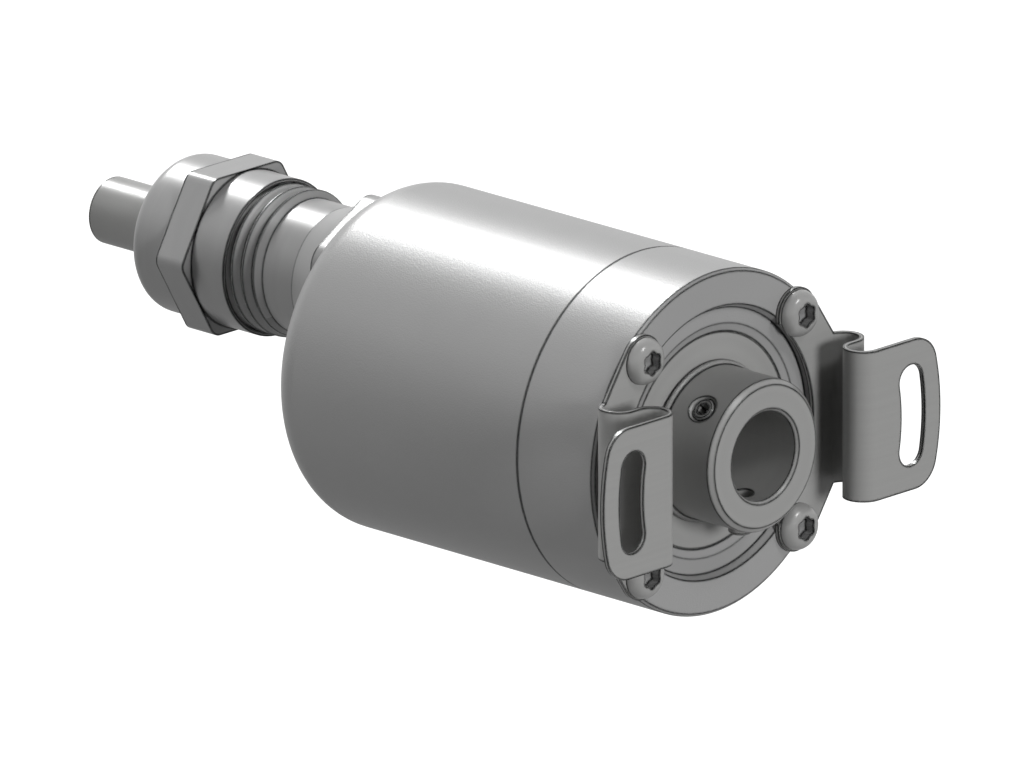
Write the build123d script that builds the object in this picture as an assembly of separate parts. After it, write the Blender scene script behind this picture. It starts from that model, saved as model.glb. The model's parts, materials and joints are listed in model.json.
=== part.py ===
from build123d import *
import math
import os

# Absolute rotary encoder with a blind hollow shaft, two folded spring tabs and a rear cable gland.
# Millimetres. The shaft turns about Y and its mouth faces -Y, +Z is up, and y = 0 is the flange face.

# Clearances
slip_fit = 0.02          # pushed or bonded together by hand
running_fit = 0.05       # turns freely
thread_play = 0.05       # screw in its thread, radially
moving_gap = 0.3         # between pieces that pass each other

# Housing
housing_radius = 29.0
flange_length = 17.0
flange_chamfer = 0.5
cover_length = 57.0
cover_wall = 2.0
cover_corner = 6.3
seam_chamfer = 0.12
o_ring_section = 1.5
o_ring_offset = 1.6

# Front recess of the flange, from its rim to the shaft seal
recess_rim = 6.05
recess_slope = 0.65
recess_depth = 1.3
recess_floor_width = 2.7
seal_lead = 1.46
seal_depth = 1.85
seal_width = 2.5
seal_shell = 0.6
lip_radius = 14.6
lip_width = 0.85

# Ball bearings, two alike
bearing_bore_radius = 10.0
bearing_outer_radius = 16.0
bearing_width = 7.0
ball_count = 6
track_depth = 0.75
cage_rim = 0.7
cage_share = 0.65        # of the gap between the races
bearing_spacing = 1.0
clip_width = 1.1
clip_depth = 0.9
clip_height = 2.0
clip_shoulder = 1.64

# Hollow shaft
bore_radius = 7.5
bore_chamfer = 0.5
hub_radius = 12.79
hub_reach = 10.92
hub_chamfer = 0.85
collar_radius = 13.58
collar_depth = 1.5
seal_track_radius = 11.5
bore_end_wall = 3.9
stub_radius = 4.0
stub_length = 3.4

# Hub set screws
set_screw_radius = 2.0
set_screw_length = 5.0
set_screw_socket = 2.0
set_screw_position = -5.4
set_screw_sink_radius = 2.55
upper_screw_angle = 135.0
upper_screw_end = 12.6
lower_screw_angle = 270.0
lower_screw_end = 14.1

# Spring tabs that hold the housing
sheet = 0.8
fold_radius = 3.35
fold_inset = 2.55
fold_shift = 1.6
tab_half_height = 12.8
tab_reach = 10.65
tab_corner = 5.0
tab_rim = 3.7
slot_width = 5.5
slot_length = 17.2
spring_overhang = 0.95
spring_lobe_radius = 4.3
spring_root = 0.45

# Screws that hold the spring tabs
screw_inset = 3.332
screw_radius = 2.0
screw_depth = 8.0
head_radius = 3.8
head_height = 2.2
head_crown_radius = 2.1
driver_size = 3.4
driver_depth = 1.3

# Code disc and optics
disc_hub_gap = 0.4
disc_hub_flange_radius = 8.0
disc_hub_flange = 1.8
disc_pilot_radius = 5.4
disc_radius = 19.0
disc_thickness = 1.0
track_radius = 17.0
lamp_board_width = 9.0
lamp_board_height = 7.0
lamp_board_thickness = 0.8
lamp_radius = 1.8
lamp_height = 1.0
reticle_gap = 0.5
reticle_thickness = 0.5
sensor_thickness = 1.8
sensor_width = 9.0
sensor_height = 7.0

# Stack of boards and gear plates
board_gap = 1.5
board_thickness = 1.6
board_window_radius = 5.0
plate_thickness = 1.2
spacer_inset = 2.7
spacer_radius = 2.4
spacer_angle = 60.0
stack_screw_radius = 1.0
stack_screw_grip = 4.0
stack_head_radius = 2.1
stack_head_height = 1.5
sensor_to_gear_gap = 2.4
gear_space = 8.8
gear_to_main_gap = 2.8
wiring_room = 14.42

# Multiturn gear train
gear_rim_gap = 3.58
pinion_teeth = 12
wheel_teeth = 48
pressure_angle = 25.0
tooth_addendum = 0.8
tooth_dedendum = 1.1
backlash = 0.08
first_wheel_angle = 90.0
next_wheel_turn = -60.0
wheel_count = 3
wheel_thickness = 1.5
wheel_layer = 2.0
wheel_start = 1.0
pinion_length = 2.2
drive_pinion_length = 2.0
axle_radius = 0.8
gear_hub_radius = 1.6
magnet_radius = 2.4
magnet_thickness = 1.3
spindle_radius = 1.5
spindle_depth = 3.0

# Board components
chip_side = 9.0
chip_height = 1.6
capacitor_radius = 2.5
capacitor_height = 5.0
header_length = 18.0
header_width = 5.0
connector_side = 10.0
connector_height = 5.0

# Cable gland, whose axis lies above the shaft axis
gland_height = 10.3
gland_size = 27.0
body_hex_corner = 4.0
nut_hex_corner = 2.2
gasket_radius = 12.9
gasket_thickness = 1.0
body_hex_length = 3.7
neck_base_radius = 13.4
neck_cone_length = 6.5
neck_radius = 11.2
neck_length = 6.3
thread_radius = 12.55
thread_pitch = 2.5
thread_length = 16.5
entry_thread_radius = 10.0
entry_thread_length = 8.0
lock_nut_size = 22.0
lock_nut_length = 3.5
sleeve_radius = 9.5
sleeve_length = 8.4
sleeve_seat = 12.0
clamp_finger_length = 3.8
clamp_finger_count = 8
clamp_finger_slot = 1.2
clamp_ring_radius = 11.4
clamp_ring_length = 3.4
nut_skirt_radius = 13.25
nut_skirt_length = 7.3
nut_hex_length = 6.1
nut_cap_radius = 13.35
nut_cap_length = 8.6
nut_cap_corner = 2.7
nut_lead = 7.4

# Cable
cable_radius = 5.65
cable_jacket_wall = 1.0
cable_shield_wall = 0.4
core_radius = 1.33
core_count = 6
cable_exposed = 16.3
jacket_start = 12.0

# Places along the shaft axis, worked out from the sizes above
seam = flange_length
recess_mouth_radius = housing_radius - recess_rim
recess_floor_radius = recess_mouth_radius - recess_slope
seal_lead_radius = recess_floor_radius - recess_floor_width
seal_radius = seal_lead_radius - seal_lead
cover_rear = seam + cover_length
cover_inside = cover_rear - cover_wall
cover_bore_radius = housing_radius - cover_wall
seal_end = seal_depth + seal_width
bearing_start = seal_end + lip_width
rear_bearing_start = bearing_start + bearing_width + bearing_spacing
bearing_end = rear_bearing_start + bearing_width
clip_end = bearing_end + clip_width + 2 * slip_fit
shaft_end = clip_end + clip_shoulder
bore_floor = shaft_end - bore_end_wall
spigot_end = shaft_end + slip_fit
disc_hub_start = shaft_end + disc_hub_gap
disc_start = disc_hub_start + disc_hub_flange
disc_end = disc_start + disc_thickness
stub_end = shaft_end + stub_length
sensor_board_start = disc_end + reticle_gap + reticle_thickness + sensor_thickness
sensor_board_end = sensor_board_start + board_thickness
front_plate_start = sensor_board_end + sensor_to_gear_gap
front_plate_end = front_plate_start + plate_thickness
rear_plate_start = front_plate_end + gear_space
rear_plate_end = rear_plate_start + plate_thickness
main_board_start = rear_plate_end + gear_to_main_gap
main_board_end = main_board_start + board_thickness
interface_board_end = cover_inside - wiring_room
interface_board_start = interface_board_end - board_thickness
gland_hex_start = cover_rear + gasket_thickness
gland_hex_end = gland_hex_start + body_hex_length
neck_start = gland_hex_end + neck_cone_length
thread_start = neck_start + neck_length
thread_end = thread_start + thread_length
nut_start = thread_start + nut_lead
nut_hex_start = nut_start + nut_skirt_length
nut_hex_end = nut_hex_start + nut_hex_length
nut_end = nut_hex_end + nut_cap_length
cable_end = nut_end + cable_exposed
gland_bore_radius = cable_radius + moving_gap
sleeve_start = thread_end - sleeve_seat

# Radii about the shaft axis, worked out in the same way
race_wall = (bearing_outer_radius - bearing_bore_radius) / 3
ball_radius = race_wall / 2 + track_depth
cage_wall = cage_share * race_wall
cage_width = 2 * (ball_radius + running_fit + cage_rim)
screw_offset = (housing_radius - screw_inset) / math.sqrt(2)
outer_fold_centre = housing_radius - fold_inset
inner_fold_centre = outer_fold_centre - fold_shift
tab_outer_radius = housing_radius + tab_reach
slot_centre_radius = tab_outer_radius - tab_rim - slot_width / 2
spring_inner_radius = recess_mouth_radius - spring_overhang
board_radius = cover_bore_radius - board_gap
spacer_circle_radius = board_radius - spacer_inset
tooth_pairs = (pinion_teeth + wheel_teeth) / 2
gear_module = (board_radius - gear_rim_gap) / (tooth_pairs + wheel_teeth / 2 + tooth_addendum)
gear_centre_distance = gear_module * tooth_pairs


def prism(outline, start, end):
    # The outline is drawn as seen from the front, with X to the right and Z up.
    seat = Plane((0, start, 0), x_dir=(1, 0, 0), z_dir=(0, -1, 0))
    return extrude(seat * outline, amount=end - start, dir=(0, 1, 0))


def disc(radius, start, end):
    return prism(Circle(radius), start, end)


def tube(outer, inner, start, end):
    return prism(Circle(outer) - Circle(inner), start, end)


def turned(*profile):
    # Each corner is a radius and a place along Y.
    return revolve(make_face(Polyline(*profile, close=True)), Axis.Y)


def rims(solid, radius, place):
    circles = solid.edges().filter_by(GeomType.CIRCLE)
    return [e for e in circles
            if abs(e.radius - radius) < 1e-3 and abs(e.arc_center.Y - place) < 1e-3]


def polar(radius, angle):
    turn = math.radians(angle)
    return radius * math.cos(turn), radius * math.sin(turn)


def at(radius, angle, solid):
    x, z = polar(radius, angle)
    return Pos(x, 0, z) * solid


def on_gland(solid):
    return Pos(0, 0, gland_height) * solid


def hexagon(size, corner, turn):
    flat = RegularPolygon(size / 2, 6, major_radius=False, rotation=turn)
    return fillet(flat.vertices(), corner) if corner else flat


def spacer_places():
    return [spacer_angle + 120 * i for i in range(3)]


def screw_places():
    return [(x, z) for x in (-screw_offset, screw_offset) for z in (-screw_offset, screw_offset)]


def flange():
    spigot_radius = cover_bore_radius - slip_fit
    groove_start = seam + o_ring_offset
    groove_end = groove_start + o_ring_section + 2 * slip_fit
    groove_radius = spigot_radius - o_ring_section
    bearing_radius = bearing_outer_radius + slip_fit
    clip_radius = bearing_outer_radius + clip_depth
    body = turned(
        (seal_radius, seal_depth), (seal_lead_radius, recess_depth),
        (recess_floor_radius, recess_depth), (recess_mouth_radius, 0),
        (housing_radius - flange_chamfer, 0), (housing_radius, flange_chamfer),
        (housing_radius, seam - seam_chamfer), (housing_radius - seam_chamfer, seam), (spigot_radius, seam),
        (spigot_radius, groove_start), (groove_radius, groove_start),
        (groove_radius, groove_end), (spigot_radius, groove_end),
        (spigot_radius, spigot_end), (bearing_radius, spigot_end),
        (bearing_radius, clip_end), (clip_radius, clip_end),
        (clip_radius, bearing_end), (bearing_radius, bearing_end),
        (bearing_radius, bearing_start), (lip_radius, bearing_start),
        (lip_radius, seal_end), (seal_radius, seal_end))
    for x, z in screw_places():
        body -= Pos(x, 0, z) * disc(screw_radius + thread_play, 0, screw_depth + 1)
    hole = disc(stack_screw_radius + thread_play, spigot_end - stack_screw_grip - 1, spigot_end)
    for angle in spacer_places():
        body -= at(spacer_circle_radius, angle, hole)
    return body


def cover():
    body = disc(housing_radius, seam, cover_rear) - disc(cover_bore_radius, seam, cover_inside)
    body = chamfer(rims(body, housing_radius, seam), seam_chamfer)
    body = fillet(rims(body, housing_radius, cover_rear), cover_corner)
    body = fillet(rims(body, cover_bore_radius, cover_inside), cover_corner - cover_wall)
    return body - on_gland(disc(entry_thread_radius + thread_play, cover_inside, cover_rear))


def cover_o_ring():
    centre_radius = cover_bore_radius - slip_fit - o_ring_section / 2
    place = seam + o_ring_offset + o_ring_section / 2 + slip_fit
    section = Pos(centre_radius, place) * Circle(o_ring_section / 2 - slip_fit)
    return revolve(section, Axis.Y)


def fold_section():
    # The S of the sheet, seen from above: base on the flange, two half loops, and the tab plate.
    inside = fold_radius - sheet
    x1, x2 = outer_fold_centre, inner_fold_centre
    first, second = -fold_radius, -3 * fold_radius + sheet
    far = tab_outer_radius + 1
    base = x1 - fold_radius
    edges = [
        Line((base, 0), (x1, 0)),
        ThreePointArc((x1, 0), (x1 + fold_radius, first), (x1, 2 * first)),
        Line((x1, 2 * first), (x2, 2 * first)),
        ThreePointArc((x2, 2 * first), (x2 - inside, second), (x2, second - inside)),
        Line((x2, second - inside), (far, second - inside)),
        Line((far, second - inside), (far, second - fold_radius)),
        Line((far, second - fold_radius), (x2, second - fold_radius)),
        ThreePointArc((x2, second - fold_radius), (x2 - fold_radius, second), (x2, second + fold_radius)),
        Line((x2, second + fold_radius), (x1, second + fold_radius)),
        ThreePointArc((x1, second + fold_radius), (x1 + inside, first), (x1, -sheet)),
        Line((x1, -sheet), (base, -sheet)),
        Line((base, -sheet), (base, 0)),
    ]
    return make_face(edges)


def tab_outline():
    plate = Pos(tab_outer_radius / 2, 0) * Rectangle(tab_outer_radius, 2 * tab_half_height)
    plate = plate & Circle(tab_outer_radius)
    return fillet(plate.vertices().sort_by(Axis.X)[-2:], tab_corner)


def tab_slot():
    half_turn = math.degrees(math.asin((slot_length - slot_width) / 2 / slot_centre_radius))
    middle = CenterArc((0, 0), slot_centre_radius, -half_turn, 2 * half_turn)
    return SlotArc(middle, slot_width)


def spring_base():
    lobes = [Pos(screw_offset, side * screw_offset) * Circle(spring_lobe_radius) for side in (-1, 1)]
    root = Pos(outer_fold_centre, 0) * Rectangle(2 * spring_root, 2 * tab_half_height)
    outline = make_hull([e for shape in (*lobes, root) for e in shape.edges()])
    outline -= Circle(spring_inner_radius)
    for side in (-1, 1):
        outline -= Pos(screw_offset, side * screw_offset) * Circle(screw_radius + thread_play)
    return prism(outline, -sheet, 0)


def coupling_spring(side):
    front = 4 * fold_radius
    strip = extrude(fold_section(), amount=tab_half_height, both=True)
    strip &= prism(tab_outline(), -front, 0)
    strip -= prism(tab_slot(), -front, -front + 3 * sheet)
    right = spring_base() + strip
    return right if side > 0 else mirror(right, about=Plane.YZ)


def coupling_screw():
    under = -sheet
    top = under - head_height
    profile = make_face([
        Line((0, screw_depth), (screw_radius, screw_depth)),
        Line((screw_radius, screw_depth), (screw_radius, under)),
        Line((screw_radius, under), (head_radius, under)),
        RadiusArc((head_radius, under), (head_crown_radius, top), -head_radius),
        Line((head_crown_radius, top), (0, top)),
        Line((0, top), (0, screw_depth)),
    ])
    return revolve(profile, Axis.Y) - prism(hexagon(driver_size, 0, 0), top, top + driver_depth)


def coupling_screws():
    return Compound(children=[Pos(x, 0, z) * coupling_screw() for x, z in screw_places()])


def shaft_seal():
    outer = seal_radius - slip_fit
    lip = seal_track_radius + running_fit
    waist = seal_depth + seal_shell
    return turned(
        (outer, seal_depth), (outer, seal_end), (outer - seal_shell, seal_end),
        (outer - seal_shell, waist), (lip + 2 * seal_shell, waist),
        (lip + seal_shell, seal_end - seal_shell), (lip, seal_end - 2 * seal_shell), (lip, seal_depth))


def ball_track(start):
    middle = start + bearing_width / 2
    pitch_radius = (bearing_bore_radius + bearing_outer_radius) / 2
    return revolve(Pos(pitch_radius, middle) * Circle(ball_radius + running_fit), Axis.Y)


def outer_race(start):
    ring = tube(bearing_outer_radius, bearing_outer_radius - race_wall, start, start + bearing_width)
    return ring - ball_track(start)


def inner_race(start):
    ring = tube(bearing_bore_radius + race_wall, bearing_bore_radius, start, start + bearing_width)
    return ring - ball_track(start)


def ball_places():
    pitch_radius = (bearing_bore_radius + bearing_outer_radius) / 2
    return [polar(pitch_radius, 360 * i / ball_count) for i in range(ball_count)]


def balls(start):
    middle = start + bearing_width / 2
    return Compound(children=[Pos(x, middle, z) * Sphere(ball_radius) for x, z in ball_places()])


def cage(start):
    middle = start + bearing_width / 2
    pitch_radius = (bearing_bore_radius + bearing_outer_radius) / 2
    ring = tube(pitch_radius + cage_wall / 2, pitch_radius - cage_wall / 2,
                middle - cage_width / 2, middle + cage_width / 2)
    pocket = Rot(0, 90, 0) * Cylinder(ball_radius + running_fit, 2 * cage_wall)
    for i in range(ball_count):
        turn = Rot(0, -360 * i / ball_count, 0)
        ring -= Pos(0, middle, 0) * turn * Pos(pitch_radius, 0, 0) * pocket
    return ring


def split_ring(outer, inner, start, gap):
    ring = Circle(outer) - Circle(inner)
    ring -= Pos(0, -outer) * Rectangle(gap, 2 * outer)
    return prism(ring, start, start + clip_width)


def bearing_clip():
    outer = bearing_outer_radius + clip_depth - running_fit
    return split_ring(outer, outer - clip_height, bearing_end + slip_fit, clip_height * 3)


def shaft_clip():
    inner = bearing_bore_radius - clip_depth + running_fit
    return split_ring(inner + clip_height, inner, bearing_end + slip_fit, clip_height)


def inner_spacer():
    start = bearing_start + bearing_width
    outer = bearing_bore_radius + race_wall
    return tube(outer, bearing_bore_radius, start, start + bearing_spacing)


def outer_spacer():
    start = bearing_start + bearing_width
    inner = bearing_outer_radius - race_wall
    return tube(bearing_outer_radius, inner, start, start + bearing_spacing)


def hollow_shaft():
    mouth = -hub_reach
    seat = bearing_bore_radius - slip_fit
    groove = bearing_bore_radius - clip_depth
    flare = collar_radius - hub_radius
    profile = make_face([
        Line((bore_radius, bore_floor), (bore_radius, mouth + bore_chamfer)),
        Line((bore_radius, mouth + bore_chamfer), (bore_radius + bore_chamfer, mouth)),
        Line((bore_radius + bore_chamfer, mouth), (hub_radius - hub_chamfer, mouth)),
        Line((hub_radius - hub_chamfer, mouth), (hub_radius, mouth + hub_chamfer)),
        Line((hub_radius, mouth + hub_chamfer), (hub_radius, collar_depth - flare)),
        RadiusArc((hub_radius, collar_depth - flare), (collar_radius, collar_depth), -flare),
        Polyline((collar_radius, collar_depth), (seal_track_radius, collar_depth),
                 (seal_track_radius, bearing_start), (seat, bearing_start), (seat, bearing_end),
                 (groove, bearing_end), (groove, clip_end), (seat, clip_end),
                 (seat, shaft_end), (stub_radius, shaft_end), (stub_radius, stub_end),
                 (spindle_radius + slip_fit, stub_end),
                 (spindle_radius + slip_fit, stub_end - spindle_depth),
                 (0, stub_end - spindle_depth), (0, bore_floor), (bore_radius, bore_floor)),
    ])
    return revolve(profile, Axis.Y) - set_screw_hole(upper_screw_angle) - set_screw_hole(lower_screw_angle)


def radial(angle, solid):
    # Turns a piece that stands on Z so that it points out of the hub at this angle.
    return Pos(0, set_screw_position, 0) * (Rot(0, 90 - angle, 0) * solid)


def set_screw_hole(angle):
    sink = set_screw_sink_radius - set_screw_radius
    rise = (Align.CENTER, Align.CENTER, Align.MIN)
    hole = Cylinder(set_screw_radius + thread_play, collar_radius, align=rise)
    sink_start = hub_radius - sink - 0.25 * sink
    mouth = Pos(0, 0, sink_start) * Cone(set_screw_radius, set_screw_radius + 2 * sink, 2 * sink, align=rise)
    return radial(angle, hole + mouth)


def set_screw(angle, outer_end):
    rise = (Align.CENTER, Align.CENTER, Align.MIN)
    tip = outer_end - set_screw_length
    pin = Pos(0, 0, tip) * Cylinder(set_screw_radius, set_screw_length, align=rise)
    ends = pin.edges().filter_by(GeomType.CIRCLE)
    pin = chamfer(ends, set_screw_radius / 6)
    socket = extrude(Pos(0, 0, outer_end) * hexagon(set_screw_socket, 0, 0), amount=-set_screw_socket)
    return radial(angle, pin - socket)


def code_disc_hub():
    bore = stub_radius + slip_fit
    return turned((bore, disc_hub_start), (disc_hub_flange_radius, disc_hub_start),
                  (disc_hub_flange_radius, disc_start), (disc_pilot_radius, disc_start),
                  (disc_pilot_radius, disc_end), (bore, disc_end))


def code_disc():
    return tube(disc_radius, disc_pilot_radius + slip_fit, disc_start, disc_end)


def lamp_board():
    board = Pos(0, track_radius + 1) * Rectangle(lamp_board_width, lamp_board_height)
    return prism(board, spigot_end, spigot_end + lamp_board_thickness)


def lamp():
    start = spigot_end + lamp_board_thickness
    return at(track_radius, 90, disc(lamp_radius, start, start + lamp_height))


def optical_sensor():
    chip = Pos(0, track_radius) * Rectangle(sensor_width, sensor_height)
    return prism(chip, sensor_board_start - sensor_thickness, sensor_board_start)


def reticle():
    window = Pos(0, track_radius) * Rectangle(sensor_width - 1, sensor_height - 1)
    end = sensor_board_start - sensor_thickness
    return prism(window, end - reticle_thickness, end)


def board(start, thickness, window):
    outline = Circle(board_radius)
    if window:
        outline -= Circle(window)
    for angle in spacer_places():
        outline -= Pos(*polar(spacer_circle_radius, angle)) * Circle(stack_screw_radius + thread_play)
    return prism(outline, start, start + thickness)


def gear_plate(start):
    window = spindle_radius + moving_gap if start == front_plate_start else 0
    plate = board(start, plate_thickness, window)
    for x, z in wheel_places():
        plate -= Pos(x, 0, z) * disc(axle_radius + slip_fit, start, start + plate_thickness)
    return plate


def spacers():
    levels = [(spigot_end, sensor_board_start), (sensor_board_end, front_plate_start),
              (front_plate_end, rear_plate_start), (rear_plate_end, main_board_start),
              (main_board_end, interface_board_start)]
    bore = stack_screw_radius + thread_play
    section = hexagon(2 * spacer_radius, 0, 0) - Circle(bore)
    return Compound(children=[at(spacer_circle_radius, angle, prism(section, start, end))
                              for start, end in levels for angle in spacer_places()])


def stack_screws():
    shank_end = spigot_end - stack_screw_grip
    screw = disc(stack_screw_radius, shank_end, interface_board_end)
    screw += disc(stack_head_radius, interface_board_end, interface_board_end + stack_head_height)
    slot = Rectangle(2 * stack_head_radius, stack_screw_radius / 2)
    top = interface_board_end + stack_head_height
    screw -= prism(slot, top - stack_head_height / 2, top)
    return Compound(children=[at(spacer_circle_radius, angle, screw) for angle in spacer_places()])


def wheel_places():
    return [polar(gear_centre_distance, first_wheel_angle + next_wheel_turn * i) for i in range(wheel_count)]


def bearing_angle(here, there):
    return math.degrees(math.atan2(there[1] - here[1], there[0] - here[0]))


def gear_outline(teeth, tooth_angle):
    # Involute flanks, with the middle of one tooth at tooth_angle.
    pitch = gear_module * teeth / 2
    base = pitch * math.cos(math.radians(pressure_angle))
    tip = pitch + tooth_addendum * gear_module
    root = pitch - tooth_dedendum * gear_module
    half_tooth = math.pi / (2 * teeth) - backlash / (4 * pitch)

    def flank_angle(radius):
        def involute(r):
            slope = math.acos(min(1, base / r))
            return math.tan(slope) - slope
        return half_tooth + involute(pitch) - involute(radius)

    points = []
    for tooth in range(teeth):
        middle = math.radians(tooth_angle) + 2 * math.pi * tooth / teeth
        for side, radii in ((-1, (root, pitch, tip)), (1, (tip, pitch, root))):
            for radius in radii:
                turn = middle + side * flank_angle(radius)
                points.append((radius * math.cos(turn), radius * math.sin(turn)))
    return make_face(Polyline(*points, close=True))


def drive_pinion():
    start = stub_end - spindle_depth
    end = front_plate_end + wheel_start + wheel_layer - moving_gap
    pinion = prism(gear_outline(pinion_teeth, first_wheel_angle), end - drive_pinion_length, end)
    return disc(spindle_radius, start, end) + pinion


def gear_wheel(index):
    # Each wheel carries the pinion that drives the next one, and a hub for its magnet.
    places = [(0, 0), *wheel_places()]
    x, z = places[index + 1]
    toward_driver = bearing_angle(places[index + 1], places[index])
    start = front_plate_end + wheel_start + wheel_layer * index
    end = start + wheel_thickness
    wheel = prism(gear_outline(wheel_teeth, toward_driver + 180 / wheel_teeth), start, end)
    if index < wheel_count - 1:
        toward_next = bearing_angle(places[index + 1], places[index + 2])
        wheel += prism(gear_outline(pinion_teeth, toward_next), end, end + pinion_length)
    wheel += disc(gear_hub_radius, front_plate_end + moving_gap, magnet_start())
    wheel -= disc(axle_radius + running_fit, front_plate_end, rear_plate_start)
    return Pos(x, 0, z) * wheel


def magnet_start():
    return rear_plate_start - moving_gap - magnet_thickness


def gear_magnet(index):
    x, z = wheel_places()[index]
    start = magnet_start()
    return Pos(x, 0, z) * tube(magnet_radius, axle_radius + running_fit, start, start + magnet_thickness)


def gear_axles():
    axle = disc(axle_radius, front_plate_start, rear_plate_end)
    return Compound(children=[Pos(x, 0, z) * axle for x, z in wheel_places()])


def block(x, z, width, height, start, end):
    return prism(Pos(x, z) * Rectangle(width, height), start, end)


def field_sensors():
    small = chip_side / 3
    start = main_board_start - chip_height / 2
    return Compound(children=[block(x, z, small, small, start, main_board_start)
                              for x, z in wheel_places()])


def main_board_parts():
    end = main_board_end + chip_height
    controller = block(-chip_side, chip_side / 2, chip_side, chip_side, main_board_end, end)
    memory = block(-chip_side, -chip_side / 2 - 3, chip_side / 2, chip_side / 2, main_board_end, end)
    return Compound(children=[controller, memory])


def board_header():
    return block(0, -spacer_circle_radius / 2 - 4, header_length, header_width,
                 main_board_end, interface_board_start)


def interface_board_parts():
    end = interface_board_end + chip_height
    driver = block(chip_side, -chip_side, chip_side, chip_side, interface_board_end, end)
    can = disc(capacitor_radius, interface_board_end, interface_board_end + capacitor_height)
    step = 2 * capacitor_radius + board_gap
    cans = [Pos(-board_gap - step * i, 0, -chip_side - capacitor_radius) * can for i in range(2)]
    return Compound(children=[driver, *cans])


def cable_connector():
    side = connector_side
    return block(0, gland_height, side, side, interface_board_end, interface_board_end + connector_height)


def gland_gasket():
    ring = tube(gasket_radius, entry_thread_radius + slip_fit, cover_rear, gland_hex_start)
    return on_gland(ring)


def gland_body():
    entry_start = cover_rear - entry_thread_length
    body = disc(entry_thread_radius, entry_start, gland_hex_start)
    body += prism(hexagon(gland_size, body_hex_corner, 30), gland_hex_start, gland_hex_end)
    outside = turned((0, gland_hex_end), (neck_base_radius, gland_hex_end), (neck_radius, neck_start),
                     (neck_radius, thread_start), (thread_radius, thread_start),
                     (thread_radius, thread_end), (0, thread_end))
    body += outside
    body = chamfer(rims(body, thread_radius, thread_end) + rims(body, thread_radius, thread_start), 0.8)
    body -= disc(gland_bore_radius, entry_start, thread_end)
    body -= disc(sleeve_radius + running_fit, sleeve_start, thread_end)
    return on_gland(body)


def gland_lock_nut():
    nut = prism(hexagon(lock_nut_size, 0, 0), cover_inside - lock_nut_length, cover_inside)
    return on_gland(nut - disc(entry_thread_radius + thread_play, cover_inside - lock_nut_length, cover_inside))


def sealing_sleeve():
    return on_gland(tube(sleeve_radius, cable_radius + slip_fit, sleeve_start, sleeve_start + sleeve_length))


def clamp_ring_start():
    return nut_hex_end - moving_gap - clamp_ring_length


def clamp_cage():
    ring_start = clamp_ring_start()
    start = ring_start - clamp_finger_length
    bore = cable_radius + running_fit
    cage_body = tube(clamp_ring_radius, bore, ring_start, ring_start + clamp_ring_length)
    cage_body += tube(sleeve_radius - moving_gap, bore, start, ring_start)
    slot = Pos(0, sleeve_radius / 2) * Rectangle(clamp_finger_slot, sleeve_radius)
    for i in range(clamp_finger_count):
        turned_slot = Rot(0, 0, 360 * i / clamp_finger_count) * slot
        cage_body -= prism(turned_slot, start, ring_start)
    return on_gland(cage_body)


def compression_nut():
    hole = cable_radius + moving_gap
    body = disc(nut_skirt_radius, nut_start, nut_hex_start)
    body += prism(hexagon(gland_size, nut_hex_corner, 0), nut_hex_start, nut_hex_end)
    cap = disc(nut_cap_radius, nut_hex_end, nut_end)
    body += fillet(rims(cap, nut_cap_radius, nut_end), nut_cap_corner)
    body -= disc(thread_radius + running_fit, nut_start, nut_hex_end)
    body -= disc(hole, nut_hex_end, nut_end)
    return on_gland(body)


def cable_jacket():
    inner = cable_radius - cable_jacket_wall
    return on_gland(tube(cable_radius, inner, cover_rear + jacket_start, cable_end))


def cable_shield():
    outer = cable_radius - cable_jacket_wall - slip_fit
    start = cover_rear + jacket_start - 3
    return on_gland(tube(outer, outer - cable_shield_wall, start, cable_end))


def cable_cores():
    start = interface_board_end + connector_height
    core = disc(core_radius, start, cable_end)
    circle_radius = 2 * core_radius + slip_fit
    around = [at(circle_radius, 360 * i / core_count, core) for i in range(core_count)]
    return Compound(children=[on_gland(wire) for wire in (core, *around)])


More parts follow.
